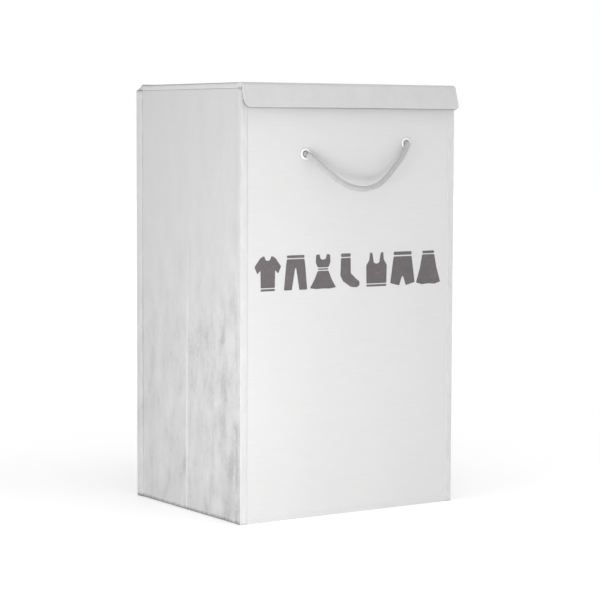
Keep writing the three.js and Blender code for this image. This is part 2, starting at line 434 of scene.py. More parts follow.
def velvet_material(name, shade=1.0, folded=False):
    """Crushed velvet: smooth high up, with blotches and upright streaks low down, where the nap has been pressed.
    A folded one has a paler line along its fold, partly worn nap and partly painted highlight of the fold's ridge,
    and a dark rub mark low at the front corner. All of them carry painted shade along their bottom edge."""
    n = Nodes(name)
    split = n.add("ShaderNodeSeparateXYZ", {"Vector": n.place})
    depth, height = split.outputs["Y"], split.outputs["Z"]
    low = n.map_range(height, (0.42, 0.24), (0.24, 1.0))
    near = n.map_range(depth, (0.06, -0.12), (0.6, 1.0))
    crushed = n.times(n.times(low, near), 0.82)
    blotches = n.noise((34, 34, 18), 4, 0.55, 0.3)
    streaks = n.noise((170, 170, 28), 3, 0.55, 0.3)
    speckle = n.noise((330, 330, 230), 3, 0.65)
    fine = n.noise((900, 900, 600), 2)
    nap = n.plus(n.plus(n.times(blotches, 0.6), n.times(streaks, 0.18)), n.times(speckle, 0.22))
    nap = n.plus(n.times(n.minus(nap, 0.5), crushed), 0.5)
    nap = n.minus(nap, n.times(n.times(crushed, crushed), 0.066))
    stops = [(0.36, 0.375), (0.46, 0.53), (0.53, 0.585), (0.64, 0.70)]
    # shade scales every tone; above 1 it makes a paler copy, which is painted light.
    colour = n.ramp(nap, *((place, grey(value * shade)) for place, value in stops))
    colour = n.mix(0.08, colour, n.shade(fine, grey(0.40), grey(0.70)))
    if folded:
        # Paler line along the fold: partly worn nap, partly painted highlight of the fold's ridge.
        away = n.maths("ABSOLUTE", n.minus(depth, 0.0012))
        worn = n.times(n.map_range(away, (0.0030, 0.0008), (0.0, 0.40)), n.map_range(height, (0.38, 0.16), WHOLE))
        colour = n.mix(worn, colour, (*grey(0.86), 1))
        across = n.maths("DIVIDE", n.plus(depth, 0.112), 0.022)
        up = n.maths("DIVIDE", n.minus(height, 0.03), 0.045)
        corner = n.maths("POWER", n.plus(n.maths("POWER", across, 2.0), n.maths("POWER", up, 2.0)), 0.5)
        smudge = n.times(n.map_range(corner, (1.0, 0.2), (0.0, 0.5)), n.map_range(blotches, (0.4, 0.6), (0.3, 1.0)))
        colour = n.mix(smudge, colour, (*grey(0.36), 1))
    # Painted shade: the lowest few millimetres go dark grey, for the contact shadow along the floor; the speckle
    # noise breaks its edge.
    painted_contact_shade = n.plus(height, n.times(n.minus(speckle, 0.5), 0.008))
    colour = n.mix(n.map_range(painted_contact_shade, (0.001, 0.0055), (0.8, 0.0)), colour, (*grey(0.16), 1))
    normal = n.bump(fine, 0.25, 0.0003, n.bump(nap, 0.5, 0.0018))
    return n.finish(color=colour, roughness=n.map_range(nap, MIDDLE, (0.78, 0.96)), normal=normal,
                    sheen=0.3, sheen_roughness=0.45, specular=0.2)


def canvas_material():
    """Smooth plain-woven cloth, with faint level slubs."""
    n = Nodes("canvas")
    weave = n.times(n.plus(n.wave("X", 330, 0.6), n.wave("Z", 330, 0.6)), 0.5)
    slubs = n.noise((22, 22, 520), 3, 0.6)
    cloudy = n.noise((7, 7, 5), 2)
    colour = n.shade(slubs, grey(0.635, 0.002), grey(0.665, 0.002))
    colour = n.mix(0.05, colour, n.ramp(weave, (0.2, grey(0.45)), (0.8, grey(0.85))))
    colour = n.mix(0.10, colour, n.shade(cloudy, grey(0.60), grey(0.71)))
    normal = n.bump(slubs, 0.2, 0.0003, n.bump(weave, 0.2, 0.00025))
    return n.finish(color=colour, roughness=n.map_range(slubs, MIDDLE, (0.72, 0.9)), normal=normal,
                    sheen=0.1, sheen_roughness=0.5, specular=0.25)


def lining_material():
    """Thin pressed lining: a field of small dimples on matted fibres."""
    n = Nodes("lining_cloth")
    dimples = n.add("ShaderNodeTexVoronoi", {"Vector": n.place, "Scale": 420}, distance="EUCLIDEAN")
    fibres = n.noise(260, 4, 0.7)
    normal = n.bump(fibres, 0.2, 0.0003, n.bump(dimples.outputs["Distance"], 0.3, 0.0004))
    return n.finish(color=n.shade(fibres, grey(0.74, 0.006), grey(0.84, 0.006)), normal=normal,
                    roughness=n.map_range(fibres, WHOLE, (0.8, 0.95)), specular=0.2)


def tape_material():
    """Narrow ribbed tape."""
    n = Nodes("ribbed_tape")
    ribs = n.wave("Z", 260, 0.3)
    mottle = n.noise((150, 150, 60))
    colour = n.shade(mottle, grey(0.60), grey(0.66))
    colour = n.mix(0.08, colour, n.ramp(ribs, (0.2, grey(0.55)), (0.8, grey(0.90))))
    normal = n.bump(ribs, 0.3, 0.0002, n.bump(mottle, 0.2, 0.0003))
    return n.finish(color=colour, roughness=n.map_range(mottle, WHOLE, (0.75, 0.9)), normal=normal,
                    sheen=0.1, sheen_roughness=0.5, specular=0.2)


def ink_material():
    """Dark warm grey printing ink, slightly worn, on the weave."""
    n = Nodes("printed_ink")
    wear = n.noise((380, 380, 520), 4, 0.7)
    patches = n.noise((60, 60, 90), 2)
    level = n.plus(n.times(wear, 0.7), n.times(patches, 0.3))
    colour = n.ramp(level, (0.3, (0.115, 0.105, 0.108)), (0.58, (0.15, 0.138, 0.142)), (0.74, (0.30, 0.285, 0.29)))
    return n.finish(color=colour, roughness=n.map_range(wear, WHOLE, (0.7, 0.9)), normal=n.bump(wear, 0.25, 0.0002),
                    specular=0.2)


# Painted light: this copy of the velvet, on the back, lid, hinge, flap, bands and floor cloth, is 5% paler than the
# side velvet, for the lamp light that the lid and flap miss.
VELVET = velvet_material("crushed_velvet_painted_paler", shade=1.05)
FOLDED_VELVET = velvet_material("folded_velvet", folded=True)
CANVAS = canvas_material()
LINING = lining_material()
TAPE = tape_material()
INK = ink_material()
FELT = fibre_material("needle_felt", 900, grey(0.42, 0.01), grey(0.60, 0.01), (0.88, 1.0), (0.5, 0.0005),
                      detail=4, grain=0.7, distortion=1.2, clouds=(0.2, 40, 3, 0.40, 0.62),
                      sheen=0.2, sheen_roughness=0.6, specular=0.1)
CARD = fibre_material("card_board", (180, 180, 60), (0.36, 0.25, 0.15), (0.50, 0.37, 0.23), (0.85, 0.98),
                      (0.3, 0.0004), detail=5, grain=0.65, specular=0.2)
STEEL = fibre_material("plated_steel", 1400, grey(0.93), grey(0.99), (0.30, 0.46), (0.05, 0.0001),
                       spread=MIDDLE, detail=2, metallic=0.45)
ROPE = fibre_material("cotton_rope", 900, grey(0.38), grey(0.53), (0.82, 0.96), (0.5, 0.0005), grain=0.6,
                      clouds=(0.25, 90, 2, 0.38, 0.58), sheen=0.2, sheen_roughness=0.5, specular=0.15)
# Dark cord: along the flap's lower edge it stands in for the flap's shadow, as painted shadow.
DARK_CORD = fibre_material("woven_dark_cord", 1300, grey(0.28), grey(0.40), (0.75, 0.95), (0.3, 0.0002),
                        spread=MIDDLE, specular=0.15)
THREAD = fibre_material("sewing_thread", 1600, grey(0.58), grey(0.74), (0.6, 0.8), (0.3, 0.0001),
                        detail=2, specular=0.3)

# ---------------- camera


def make_camera():
    data = bpy.data.cameras.new("camera")
    data.sensor_width = 36
    data.lens = CAMERA_LENS
    data.clip_start, data.clip_end = 0.05, 50
    camera = link_object("camera", data)
    turn = Matrix.Rotation(-CAMERA_TURN, 4, "Z")
    tilt = Matrix.Rotation(math.pi / 2 + CAMERA_PITCH, 4, "X")
    roll = Matrix.Rotation(CAMERA_ROLL, 4, "Z")
    camera.matrix_world = Matrix.Translation(CAMERA_PLACE) @ turn @ tilt @ roll
    SCENE.camera = camera


make_camera()

# ---------------- ropes, knots and eyelets


def eyelet_place(wall, side):
    """The middle of an eyelet, on the outer face of its wall."""
    low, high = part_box(f"{wall}_{side}_eyelet")
    middle = (low + high) / 2
    return np.array([middle.x, math.copysign(HALF_DEPTH, middle.y), middle.z])


def eyelet_spots(wall, turn):
    """(u, v) of a wall's eyelets, seen from outside."""
    places = [eyelet_place(wall, side) @ np.array(Matrix.Rotation(turn, 3, "Z")) for side, _ in SIDES]
    return [(place[0], place[2]) for place in places]


def braid(line, across, radius, rings_apart=0.45 * MM, sides=48):
    """A round braided cord along a line: (vertices, faces). Its yarns go over and under each other in diamonds."""
    carriers, lift, diamond_length = 6, 0.22, 1.25
    along = stations(0, line_length(line), rings_apart)
    centre = points_at(line, along)
    tangent = unit(np.gradient(centre, axis=0))
    first = np.empty_like(centre)
    direction = np.asarray(across, float)
    for i, t in enumerate(tangent):
        direction = unit(direction - direction.dot(t) * t)
        first[i] = direction
    turn = 2 * math.pi * np.arange(sides) / sides
    around = carriers * turn[None, :] / (2 * math.pi)
    diamonds = along[:, None] / (2 * math.pi * radius / carriers * diamond_length)
    p, q = around + diamonds, around - diamonds
    on_top = (np.floor(p) + np.floor(q)) % 2 == 0
    width = np.where(on_top, q, p) % 1
    length = np.where(on_top, p, q) % 1
    yarn = np.sqrt(np.clip(1 - (2 * width - 1) ** 2, 0, 1)) * (0.55 + 0.45 * np.sin(math.pi * length))
    reach = radius * (1 - lift + lift * yarn)
    return tube(centre, first, np.cross(tangent, first), reach[:, :, None], turn)


def rope_line(wall):
    """The rope's centreline on a wall, from one eyelet to the other, and the direction across its plane."""
    start, end = eyelet_place(wall, "left"), eyelet_place(wall, "right")
    outwards = np.array([0, math.copysign(1, start[1]), 0])
    start, end = start + ROPE_STANDOFF * outwards, end + ROPE_STANDOFF * outwards
    along = unit(end - start)
    down = np.cross(outwards, along)
    down = unit(down) * -math.copysign(1, down[2])
    away = math.cos(ROPE_TILT) * down + math.sin(ROPE_TILT) * outwards
    route = [start + MM * u * along + MM * v * away for u, v in ROPE_ROUTE]
    return through(route, 1.5 * MM), np.cross(along, away)


def make_rope(wall):
    line, across = rope_line(wall)
    rope = joined(f"{wall}_handle_rope", [braid(line, across, ROPE_RADIUS)], ROPE)
    finish_piece(rope, f"{wall}_handle", "rope", f"{wall}_rope")


def knot_line(mouth, inwards):
    """A rope end: straight in through the eyelet, round an overhand knot, and out in a short tail."""
    turn_radius, depth_swing = 2.45 * MM, 3.3 * MM
    knot_start, knot_middle, tail_bend, tail_length = 9 * MM, 17.5 * MM, 7 * MM, 4.5 * MM
    up = np.array([0, 0, 1.0])
    side = np.cross(up, inwards)
    t = np.linspace(-0.35, 2 * math.pi - 0.95, 60)[:, None]
    middle = mouth + knot_middle * inwards
    loop = middle + turn_radius * ((np.sin(t) + 2 * np.sin(2 * t)) * side + (np.cos(t) - 2 * np.cos(2 * t)) * up)
    loop = loop - depth_swing * np.sin(3 * t) * inwards
    lead = [mouth + s * inwards for s in stations(0, knot_start - 2 * MM, 2 * MM)]
    tail_start = middle + tail_bend * inwards
    tail = [tail_start + s * inwards for s in stations(0, tail_length, 2 * MM)]
    return through(np.vstack([lead, loop[::3], tail]), 1.2 * MM)


def make_knot(wall, side):
    """The rope's end inside the wall."""
    low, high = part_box(f"{wall}_{side}_knot")
    place = eyelet_place(wall, side)
    outwards = math.copysign(1, place[1])
    mouth = np.array([place[0], low.y if outwards < 0 else high.y, place[2]])
    inwards = np.array([0, -outwards, 0.0])
    lead = through([mouth, mouth + 3 * MM * inwards, mouth + 9 * MM * inwards], 1.5 * MM)
    parts = [braid(lead, (1, 0, 0), ROPE_RADIUS * 0.95, sides=32),
             braid(knot_line(mouth, inwards)[5:], (0.3, 0.2, 1), 3.0 * MM, rings_apart=0.8 * MM, sides=32)]
    knot = joined(f"{wall}_{side}_rope_knot", parts, ROPE)
    finish_piece(knot, wall, "rope", f"{wall}_{side}_knot")


def revolve(profile, place, outwards, sides=64):
    """(vertices, faces) of a closed profile of (radius, distance outwards) turned about an eyelet's axis."""
    angle = np.linspace(0, 2 * math.pi, sides, endpoint=False)
    rows = [np.stack([place[0] + radius * np.cos(angle), np.full(sides, place[1] + outwards * out),
                      place[2] + radius * np.sin(angle)], axis=1) for radius, out in profile]
    count = len(profile) * sides
    faces = [tuple(i % count for i in face) for face in grid_faces(len(profile) + 1, sides, closed=True)]
    return np.vstack(rows), faces if outwards > 0 else turned_over(faces)


def arc(centre, radius, start, end, count):
    """Points of an arc in a profile, from one angle to another in degrees."""
    return [(centre[0] + radius * math.cos(a), centre[1] + radius * math.sin(a))
            for a in np.radians(np.linspace(start, end, count))]


def make_eyelet(wall, side):
    """A rolled metal ring through the wall, and the washer behind it."""
    inner, outer, flange = 4.4 * MM, 5.1 * MM, 7.7 * MM
    front = arc((flange - 1.0 * MM, GAP + 0.25 * MM), 1.0 * MM, 0, 90, 7)
    crown = arc((inner + 1.5 * MM, GAP - 0.05 * MM), 1.5 * MM, 100, 180, 9)
    roll = arc((5.5 * MM, -WALL - 1.9 * MM), 0.8 * MM, 330, 30, 12)
    seat = -WALL - 1.4 * MM
    ring = [(outer, GAP), (flange, GAP)] + front + crown + [(inner, -WALL - 1 * MM)]
    ring += [(r, y) for r, y in roll if r < 6.0 * MM and y < seat] + [(outer, seat)]
    rim, face, rear = 8 * MM, -WALL - GAP, -WALL - 1.1 * MM
    washer = [(EYELET_HOLE, rear), (EYELET_HOLE, face), (rim - 0.3 * MM, face), (rim, face - 0.3 * MM),
              (rim - 0.2 * MM, -WALL - 0.9 * MM), (rim - 0.8 * MM, rear)]
    place = eyelet_place(wall, side)
    for part, profile in (("eyelet", ring), ("washer", washer)):
        turned = revolve(profile, place, math.copysign(1, place[1]))
        made = joined(f"{wall}_{side}_metal_{part}", [turned], STEEL)
        finish_piece(made, wall, "eyelet", f"{wall}_{side}_{part}")


for wall in ("front", "back"):
    make_rope(wall)
for wall in ("front", "back"):
    for side, _ in SIDES:
        make_eyelet(wall, side)
        make_knot(wall, side)

# ---------------- cloth covers


def by_matrix(matrix):
    """A placing function that takes points by a matrix."""
    matrix = np.array(matrix)
    return lambda points: points @ matrix[:3, :3].T + matrix[:3, 3]


def on_wall(turn, inner):
    """Places (u, v, n) on a wall: u to the right seen from outside, v up, n outwards."""
    return by_matrix(Matrix.Rotation(turn, 4, "Z") @ Matrix.Translation((0, -inner, 0))
                     @ Matrix(((1, 0, 0, 0), (0, 0, -1, 0), (0, 1, 0, 0), (0, 0, 0, 1))))


def grid_loop(i0, j0, i1, j1):
    """The places of a grid round a block of it, from its low corner."""
    loop = [(i, j0) for i in range(i0, i1)] + [(i1, j) for j in range(j0, j1)]
    return loop + [(i, j1) for i in range(i1, i0, -1)] + [(i0, j) for j in range(j1, j0, -1)]


def make_tray(name, material, place, u_range, v_range, depth, relief, wobble, seed, corners=(), holes=(),
              turned_in=6 * MM, step=GRID, rounding=1.1 * MM, hem=0.5 * MM, open_top=False, us=None, vs=None):
    """A cover: an outer face with relief, rounded edges, and a turned-in border behind.
    u and v run over the outer face, and n outwards from the inner face. place takes (u, v, n) to the frame.
    corners are (u end, v end, radius), with ends -1 or 1. holes are (u, v, radius).
    us and vs are the grid's places where they are not even. An open top has no edge there."""
    us = stations(u_range[0] + rounding, u_range[1] - rounding, step) if us is None else us
    vs = stations(v_range[0] + rounding, v_range[1] - rounding, step) if vs is None else vs
    nu, nv = len(us), len(vs)
    index = np.arange(nu * nv).reshape(nu, nv)
    kept = np.ones((nu - 1, nv - 1), bool)
    points = [np.column_stack([*grid_points(us, vs), np.full(nu * nv, depth)])]
    weights = [np.ones(nu * nv)]
    faces = []

    def add_row(before, flat, n, weight, links):
        """Adds a row of points and joins it to the row before."""
        first = sum(len(row) for row in points)
        now = list(range(first, first + len(flat)))
        points.append(np.column_stack([flat, np.full(len(flat), n)]))
        weights.append(np.full(len(flat), weight))
        for k in range(links):
            m = (k + 1) % len(now)
            faces.append((before[m], before[k], now[k], now[m]))
        return now

    block, rings = 8, 5
    for hu, hv, radius in holes:
        i0, j0 = np.searchsorted(us, hu) - block // 2, np.searchsorted(vs, hv) - block // 2
        kept[i0 : i0 + block, j0 : j0 + block] = False
        loop = grid_loop(i0, j0, i0 + block, j0 + block)[::-1]
        outer = np.array([(us[i], vs[j]) for i, j in loop])
        angle = np.arctan2(outer[:, 1] - hv, outer[:, 0] - hu)
        inner = np.stack([hu + radius * np.cos(angle), hv + radius * np.sin(angle)], axis=1)
        row = [index[i, j] for i, j in loop]
        for ring in range(1, rings + 1):
            row = add_row(row, outer + (inner - outer) * (ring / rings), depth, 1, len(row))
    faces += [(index[i, j], index[i + 1, j], index[i + 1, j + 1], index[i, j + 1]) for i, j in np.argwhere(kept)]
    border = grid_loop(0, 0, nu - 1, nv - 1)
    if open_top:
        border = border[1 - nv :] + border[: nu + nv - 1]
    base = np.array([(us[i], vs[j]) for i, j in border])
    direction = np.array([((i == nu - 1) * 1.0 - (i == 0), (j == nv - 1 and not open_top) * 1.0 - (j == 0))
                          for i, j in border])
    profile = [(math.sin(a) * rounding, depth - rounding * (1 - math.cos(a)), math.cos(a))
               for a in np.radians([22, 45, 67, 90])]
    profile += [(rounding, n, 0) for n in np.linspace(depth - rounding, hem, 3)[1:]]
    profile += [(rounding - hem * (1 - math.cos(a)), hem * (1 - math.sin(a)), 0) for a in np.radians([45, 90])]
    profile += [(rounding - hem - turned_in * k, 0.0, 0) for k in (0.5, 1)]
    row = [index[i, j] for i, j in border]
    for offset, n, weight in profile:
        row = add_row(row, base + direction * offset, n, weight, len(border) - open_top)
    points, weights = np.vstack(points), np.concatenate(weights)
    u, v = points[:, 0].copy(), points[:, 1].copy()
    points[:, 2] += relief(u, v) * weights
    for u_end, v_end, radius in corners:
        edge_u, edge_v = u_range[(u_end + 1) // 2], v_range[(v_end + 1) // 2]
        a = np.clip(1 - (edge_u - u) * u_end / radius, 0, 1)
        b = np.clip(1 - (edge_v - v) * v_end / radius, 0, 1)
        points[:, 0] -= u_end * radius * a * (1 - np.sqrt(1 - b * b / 2))
        points[:, 1] -= v_end * radius * b * (1 - np.sqrt(1 - a * a / 2))
    points[:, 0] += wobble * wrap_noise(v / (60 * MM), np.full_like(v, seed + 0.5), 70 + seed)
    points[:, 1] += wobble * wrap_noise(u / (60 * MM), np.full_like(u, seed + 0.5), 80 + seed)
    return thicken(make_object(name, place(points), faces, material), CLOTH)


def puckers(distance, along, pitch, seed):
    """Small ripples along a sewn line, dying away from it."""
    return wrap_noise(along / pitch, np.full_like(along, 0.5), seed) * np.exp(-np.abs(distance) / (7 * MM))


def end_wall_relief(seed, spots):
    """Height of a front or back cover: slow waves, ripples along the corner tape and hem, pulls at the eyelets."""

    def relief(u, v):
        height = 0.45 * MM * layered_noise(u, v, (190, 240), seed, 2)
        for edge in (-1, 1):
            height += 0.16 * MM * puckers(u - edge * (HALF_WIDTH - 10 * MM), v, 9 * MM, seed + 5 + edge)
        height += 0.14 * MM * puckers(v - 6 * MM, u, 8 * MM, seed + 9)
        for spot_u, spot_v in spots:
            away = np.hypot(u - spot_u, v - spot_v)
            angle = np.arctan2(v - spot_v, u - spot_u)
            height -= 0.25 * MM * bell(away - 7 * MM, 5 * MM)
            height += 0.12 * MM * np.cos(5 * angle + seed) * bell(away - 15 * MM, 8 * MM)
        return height

    return relief


def make_end_wall(wall, turn, material, slot, seed):
    spots = eyelet_spots(wall, turn)
    relief = end_wall_relief(seed, spots)
    cover = make_tray(f"{wall}_cloth", material, on_wall(turn, INNER_Y), (-HALF_WIDTH, HALF_WIDTH), (0, WALL_TOP),
                      WALL, relief, 0.15 * MM, seed, holes=[(*spot, EYELET_HOLE) for spot in spots])
    finish_piece(cover, wall, slot, f"{wall}_cover")
    return relief


def side_relief(seed, towards_front):
    """Height of a side cover: crushed nap, slow waves, and a fold line that fades towards the top.
    The fold is a low ridge with a sharp groove in front of it. The cloth stays clear of the boards."""

    def relief(u, v):
        height = 0.35 * MM * layered_noise(u, v, (160, 200), seed, 2)
        height += 0.16 * MM * layered_noise(u, v, (16, 40), seed + 20) * smooth_step(-v, -0.5, -0.1)
        height += 0.05 * MM * layered_noise(u, v, (12, 30), seed + 30, 2)
        fade = 0.2 + 0.8 * smooth_step(-v, -0.42, -0.3)
        height += 0.45 * MM * fade * bell(u, 1.9 * MM)
        height -= 0.8 * MM * fade * bell(u * towards_front - 4.0 * MM, 1.5 * MM)
        height += 0.14 * MM * puckers(v - 6 * MM, u, 8 * MM, seed + 9)
        return np.maximum(height, BOARD_CLEARANCE)

    return relief


def finish_side(made, side, sign, reach, slot, part):
    """A sheet of a side wall, baked in place, standing for the CAD nodes of both halves of the wall. reach is not
    used.
    """
    halves = f"{side}_rear", f"{side}_front"
    finish_bend(made, halves, (sign * HALF_WIDTH, reach, 0), (sign * HALF_WIDTH, -reach, 0), slot,
                *(f"{half}_{part}" for half in halves))


def make_side_wall(side, sign, turn, seed):
    near_fold = 9 * MM
    half = stations(near_fold, SIDE_END - 0.8 * MM, 2.5 * MM)
    us = np.concatenate([-half[::-1], stations(-near_fold, near_fold, 0.8 * MM)[1:-1], half])
    cover = make_tray(f"{side}_cloth", FOLDED_VELVET, on_wall(turn, INNER_X), (-SIDE_END, SIDE_END), (0, WALL_TOP),
                      WALL, side_relief(seed, -sign), 0.1 * MM, seed, step=2.5 * MM, rounding=0.8 * MM, us=us)
    finish_side(cover, side, sign, 3 * MM, "side_cloth", "cover")


FRONT_RELIEF = make_end_wall("front", FRONT, CANVAS, "front_cloth", 3)
make_end_wall("back", BACK, VELVET, "side_cloth", 11)
make_side_wall("left", -1, LEFT, 21)
make_side_wall("right", 1, RIGHT, 31)

# ---------------- linings


def make_lining(name, turn, inner, half_length, seed, spots=()):
    """A thin sheet on a wall's inner face, a little slack between its stitched edges, and open at the eyelets."""
    opening = 6.5 * MM
    us = stations(LINING_INSET - half_length, half_length - LINING_INSET, 5 * MM)
    vs = stations(LINING_INSET, WALL_TOP - LINING_INSET, 5 * MM)
    u, v = grid_points(us, vs)
    slack = smooth_step(half_length - np.abs(u), 2 * MM, 30 * MM)
    slack *= smooth_step(np.minimum(v, WALL_TOP - v), 2 * MM, 30 * MM)
    n = 0.95 * MM - 0.35 * MM * slack * (1 + layered_noise(u, v, (60, 80), seed))
    faces = []
    for a, b, c, d in grid_faces(len(us), len(vs)):
        middle = (u[a] + u[c]) / 2, (v[a] + v[c]) / 2
        if all(math.dist(middle, spot) > opening for spot in spots):
            faces.append((b, c, d, a))
    made = make_object(name, on_wall(turn, inner)(np.column_stack([u, v, n])), faces, LINING)
    return thicken(made, WALL_LINING)


for wall, turn, seed in (("front", FRONT, 41), ("back", BACK, 42)):
    made = make_lining(f"{wall}_inner_cloth", turn, INNER_Y, INNER_X, seed, eyelet_spots(wall, turn))
    finish_piece(made, wall, "lining", f"{wall}_lining")
for (side, sign), turn, seed in zip(SIDES, (LEFT, RIGHT), (43, 44)):
    made = make_lining(f"{side}_inner_cloth", turn, INNER_X, SIDE_END, seed)
    finish_side(made, side, sign, 9 * MM, "lining", "lining")

# ---------------- strips: corner tapes and bands


def make_strip(name, material, section, axis, span, seed, thickness=TAPE_THICKNESS, ripple=0.1 * MM, step=4 * MM,
               flip=False, shift=None, closed_low=None):
    """A narrow strip: a section swept along Z or X, with slightly uneven edges. The section is its outer surface.
    shift gives how far Y moves at each place along it. closed_low turns its ends down to that height."""
    count = len(section)
    tangent = unit(np.gradient(section, axis=0))
    normal = np.stack([tangent[:, 1], -tangent[:, 0]], axis=1)
    rows = []
    for place in stations(*span, step):
        along = np.full(count, place)
        lift = ripple * wrap_noise(along / (11 * MM), np.arange(count) * 0.25, seed)
        edge = 0.2 * MM * wrap_noise(np.array([place / (17 * MM)]), np.array([0.5]), seed + 1)
        flat = section + normal * lift[:, None] + tangent * edge
        if shift:
            flat[:, 0] += shift(place) * smooth_step(section[:, 0], LID_BACK, HALF_DEPTH)
        rows.append(np.column_stack([flat, along] if axis == "Z" else [along, flat]))
    if closed_low is not None:
        ends = rows[0].copy(), rows[-1].copy()
        for row, way in zip(ends, (-1, 1)):
            row[:, 0] += way * 1.2 * MM
            row[:, 2] = np.minimum(row[:, 2], closed_low)
        rows = [ends[0], *rows, ends[1]]
    faces = grid_faces(len(rows), count)
    return thicken(make_object(name, np.vstack(rows), turned_over(faces) if flip else faces, material), thickness)


def make_corner_tapes():
    """Tape on the faces of the front and back walls, along their upright edges: light in front, velvet behind."""
    for wall, face, material, first_seed in (("front", -1, TAPE, 51), ("back", 1, VELVET, 55)):
        for end, seed in ((-1, first_seed), (1, first_seed + 1)):
            side = "left" if end * face > 0 else "right"
            outer_x = end * (HALF_WIDTH + TAPE_OUT)
            inner_x = end * (HALF_WIDTH - TAPE_WIDTH)
            outer_y = face * (HALF_DEPTH + TAPE_OUT)
            section = bend_path([(inner_x, face * (HALF_DEPTH + TAPE_THICKNESS * 0.55)),
                                 (inner_x + end * 1.2 * MM, outer_y), (outer_x, outer_y),
                                 (outer_x, outer_y - face * TAPE_TURN)], 1.0 * MM)
            tape = make_strip(f"{wall}_{side}_edge_tape", material, section, "Z", STRIP_SPAN, seed,
                              flip=end * face > 0)
            finish_piece(tape, wall, "tape", f"{wall}_{side}_tape")


def make_corner_bands():
    """Velvet that goes round each corner from the end of the front or back wall onto the side.
    The right front corner is where the loop of walls is opened, so its band stays with the front."""
    out = HALF_WIDTH + TAPE_OUT
    for side, sign in SIDES:
        for wall, half, face, reach in (("front", "front", -1, 7 * MM), ("back", "rear", 1, 15.4 * MM)):
            far, pivot = face * (HALF_DEPTH - reach), face * INNER_Y
            section = bend_path([(sign * (out - 0.1 * MM), face * (HALF_DEPTH + TAPE_OUT - TAPE_TURN)),
                                 (sign * out, far + face * 1.5 * MM),
                                 (sign * (HALF_WIDTH + 0.1 * MM), far)], 0.8 * MM)
            band = make_strip(f"{side}_{half}_corner_band", VELVET, section, "Z", STRIP_SPAN,
                              61 + (sign > 0) + 2 * (face > 0), flip=sign * face < 0)
            if (side, wall) == ("right", "front"):
                finish_piece(band, wall, "side_cloth")
            else:
                nodes = [f"{side}_rear_seam"] if half == "rear" else []
                finish_bend(band, (wall, f"{side}_{half}"), (sign * out, pivot + face * 0.6 * MM, 0),
                            (sign * out, pivot - face * 4 * MM, 0), "side_cloth", *nodes)


make_corner_tapes()
make_corner_bands()

# ---------------- lid, its hinge, and the flap


def make_inner_cloth(part, v_range, v_step, place, height, offset=-1):
    """The lining of the lid or the flap, at that height over its inner face."""
    us = stations(LINING_INSET - LID_HALF, LID_HALF - LINING_INSET, 5 * MM)
    vs = stations(v_range[0] + LINING_INSET, v_range[1] - LINING_INSET, v_step)
    u, v = grid_points(us, vs)
    made = make_object(f"{part}_inner_cloth", place(np.column_stack([u, v, height(u, v)])),
                       turned_over(grid_faces(len(us), len(vs))), LINING)
    thicken(made, LID_LINING, offset)
    finish_piece(made, part, "lining", f"{part}_lining")


def lid_relief(u, v):
    """Height of the lid: low waves, a seam pressed in at its edges, and fuller edges round a slight hollow."""
    height = 0.5 * MM * layered_noise(u, v, (130, 120), 91, 2)
    edge = np.minimum(LID_HALF - np.abs(u), np.minimum(v + HALF_DEPTH, LID_BACK - v))
    height -= 0.35 * MM * (1 - smooth_step(edge, 3 * MM, 16 * MM))
    height -= 1.3 * MM * smooth_step(edge, 12 * MM, 36 * MM)
    return height + 0.12 * MM * layered_noise(u, v, (14, 22), 95)


def make_lid():
    v_range = (-HALF_DEPTH, LID_BACK)
    cover = make_tray("lid_cloth", VELVET, by_matrix(Matrix.Translation((0, 0, LID_REST))), (-LID_HALF, LID_HALF),
                      v_range, LID_TOP - LID_REST, lid_relief, 0.3 * MM, 5,
                      corners=[(-1, 1, 5 * MM), (1, 1, 5 * MM)], rounding=0.8 * MM, hem=0.2 * MM)
    finish_piece(cover, "lid", "side_cloth", "lid_cover")
    make_inner_cloth("lid", v_range, 5 * MM, by_matrix(Matrix.Translation((0, 0, LID_LOW.z))),
                     lambda u, v: 0.75 * MM + 0.15 * MM * layered_noise(u, v, (60, 70), 97), offset=1)


def make_hinge():
    """Cloth from the lid's back edge over the back wall, sewn down its outer face and over the corner tapes."""
    low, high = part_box("lid_hinge_cloth")
    out = high.y
    section = bend_path([(LID_BACK - 9 * MM, LID_TOP + 0.3 * MM), (LID_BACK - 0.5 * MM, LID_TOP + 0.2 * MM),
                         (LID_BACK + 2.5 * MM, high.z + 1.2 * MM), (out - 2.2 * MM, WALL_TOP + 1.5 * MM),
                         (out, WALL_TOP - 1.5 * MM), (out, low.z)], 1.2 * MM)
    band = make_strip("lid_hinge_band", VELVET, section, "X", (-FOLD_REACH, FOLD_REACH), 71,
                      shift=lambda x: 0.9 * MM * smooth_step(abs(x), high.x - 3 * MM, high.x + 2 * MM),
                      closed_low=WALL_TOP + 0.3 * MM)
    finish_bend(band, ("lid", "back"), (0, LID_BACK, LID_TOP), (0, HALF_DEPTH, WALL_TOP - 2 * MM),
                "side_cloth", "lid_hinge_cloth")


def make_fold_lining():
    """Lining that joins the lid's inner face to the flap's."""
    (y, z), level = FOLD_AXIS, WALL_TOP + 0.05 * MM
    section = bend_path([(-HALF_DEPTH + 6 * MM, level), (y + 1.2 * MM, level),
                         (y - 0.3 * MM - 5 * MM * math.sin(FLAP_LEAN), z - 5.5 * MM * math.cos(FLAP_LEAN))],
                        1.6 * MM, step=0.8 * MM)
    made = make_strip("fold_inner_cloth", LINING, section, "X", (-FOLD_REACH, FOLD_REACH), 75, LID_LINING,
                      ripple=0.05 * MM, step=6 * MM)
    finish_bend(made, ("lid", "flap"), (0, y + 0.9 * MM, LID_LOW.z), (0, y - 1.5 * MM, z - 4 * MM), "lining")


